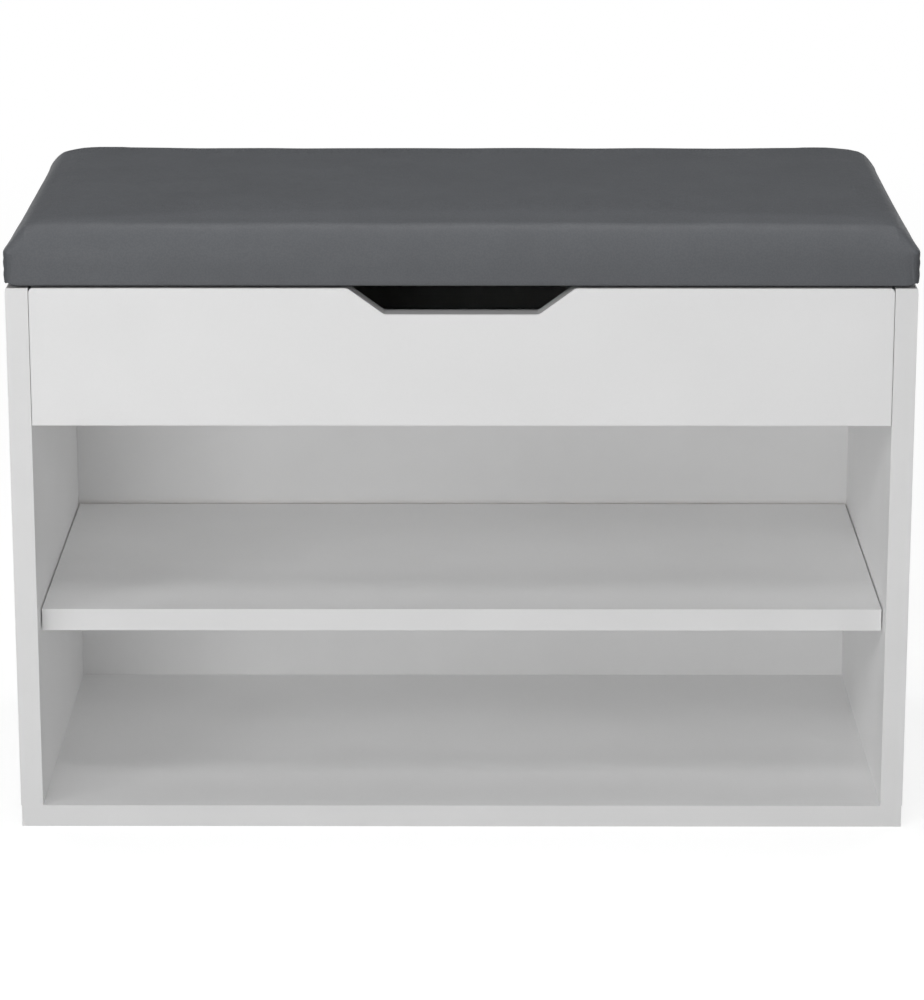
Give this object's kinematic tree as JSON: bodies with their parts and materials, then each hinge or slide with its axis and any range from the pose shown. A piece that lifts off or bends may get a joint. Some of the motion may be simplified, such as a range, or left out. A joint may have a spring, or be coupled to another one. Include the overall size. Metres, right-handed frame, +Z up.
{
  "type": "entryway bench",
  "caption": "Shoe bench: open white board case with a shelf, a hand-hold cut in its front board, and a dark padded lid that lifts on stays over a hidden compartment.",
  "frame": {"origin": "on the floor, under the middle of the case's 600 x 300 mm plan; the hinge knuckles stand out 6 mm behind that plan", "axes": "+X along the seat to the right as seen from the front, +Y to the back, +Z up"},
  "size_m": [0.6, 0.3063, 0.42],
  "materials": {
    "white_laminate": "satin",
    "white_edging": "satin",
    "back_board": "matte",
    "white_plastic": "matte",
    "zinc_casting": "satin",
    "zinc_steel": "satin",
    "dowel_beech": "matte",
    "lid_plywood": "matte",
    "seat_leatherette": "satin",
    "seat_foam": "matte",
    "underside_cloth": "matte",
    "black_rubber": "matte",
    "slider_nylon": "matte"
  },
  "bodies": {
    "case": {"bottom_panel": "white_laminate", "bottom_panel_edging": "white_edging", "left_side_panel": "white_laminate", "right_side_panel": "white_laminate", "left_side_edging": "white_edging", "right_side_edging": "white_edging", "front_fascia": "white_laminate", "fascia_edging": "white_edging", "compartment_floor": "white_laminate", "rear_rail": "white_laminate", "rear_rail_edging": "white_edging", "back_panel": "back_board", "shelf_board": "white_laminate", "shelf_edging": "white_edging", "shelf_pins": "zinc_steel", "wood_dowels": "dowel_beech", "cam_bolts": "zinc_steel", "cam_locks": "zinc_casting", "cam_caps": "white_plastic", "carcass_screws": "zinc_steel", "left_case_hinge_leaf": "zinc_steel", "right_case_hinge_leaf": "zinc_steel", "left_hinge_pin": "zinc_steel", "right_hinge_pin": "zinc_steel", "case_hinge_screws": "zinc_steel", "left_stay_track": "zinc_steel", "right_stay_track": "zinc_steel", "stay_track_screws": "zinc_steel", "lid_bumpers": "black_rubber"},
    "lid": {"lid_board": "lid_plywood", "seat_foam": "seat_foam", "seat_cover": "seat_leatherette", "lid_backing": "underside_cloth", "backing_staples": "zinc_steel", "left_lid_hinge_leaf": "zinc_steel", "right_lid_hinge_leaf": "zinc_steel", "lid_hinge_screws": "zinc_steel", "left_stay_bracket": "zinc_steel", "right_stay_bracket": "zinc_steel", "stay_bracket_screws": "zinc_steel", "stay_pivot_rivets": "zinc_steel", "stay_pivot_washers": "slider_nylon"},
    "left_arm": {"left_stay_arm": "zinc_steel", "left_stay_slider": "slider_nylon"},
    "right_arm": {"right_stay_arm": "zinc_steel", "right_stay_slider": "slider_nylon"}
  },
  "joints": [
    {"name": "lid_hinge", "type": "hinge", "parent": "case", "child": "lid", "pos_m": [0, 0.1533, 0.3742], "axis": [-1, 0, 0], "range_deg": [0, 75]},
    {"name": "left_arm_pivot", "type": "hinge", "parent": "lid", "child": "left_arm", "pos_m": [-0.2785, 0.05405, 0.362], "axis": [-1, 0, 0], "range_deg": [-150.5, 0.5]},
    {"name": "right_arm_pivot", "type": "hinge", "parent": "lid", "child": "right_arm", "pos_m": [0.2785, 0.05405, 0.362], "axis": [-1, 0, 0], "range_deg": [-150.5, 0.5]}
  ],
  "couplings": [
    {"joint": "left_arm_pivot", "follows": "lid_hinge", "ratio": -2},
    {"joint": "right_arm_pivot", "follows": "lid_hinge", "ratio": -2}
  ]
}
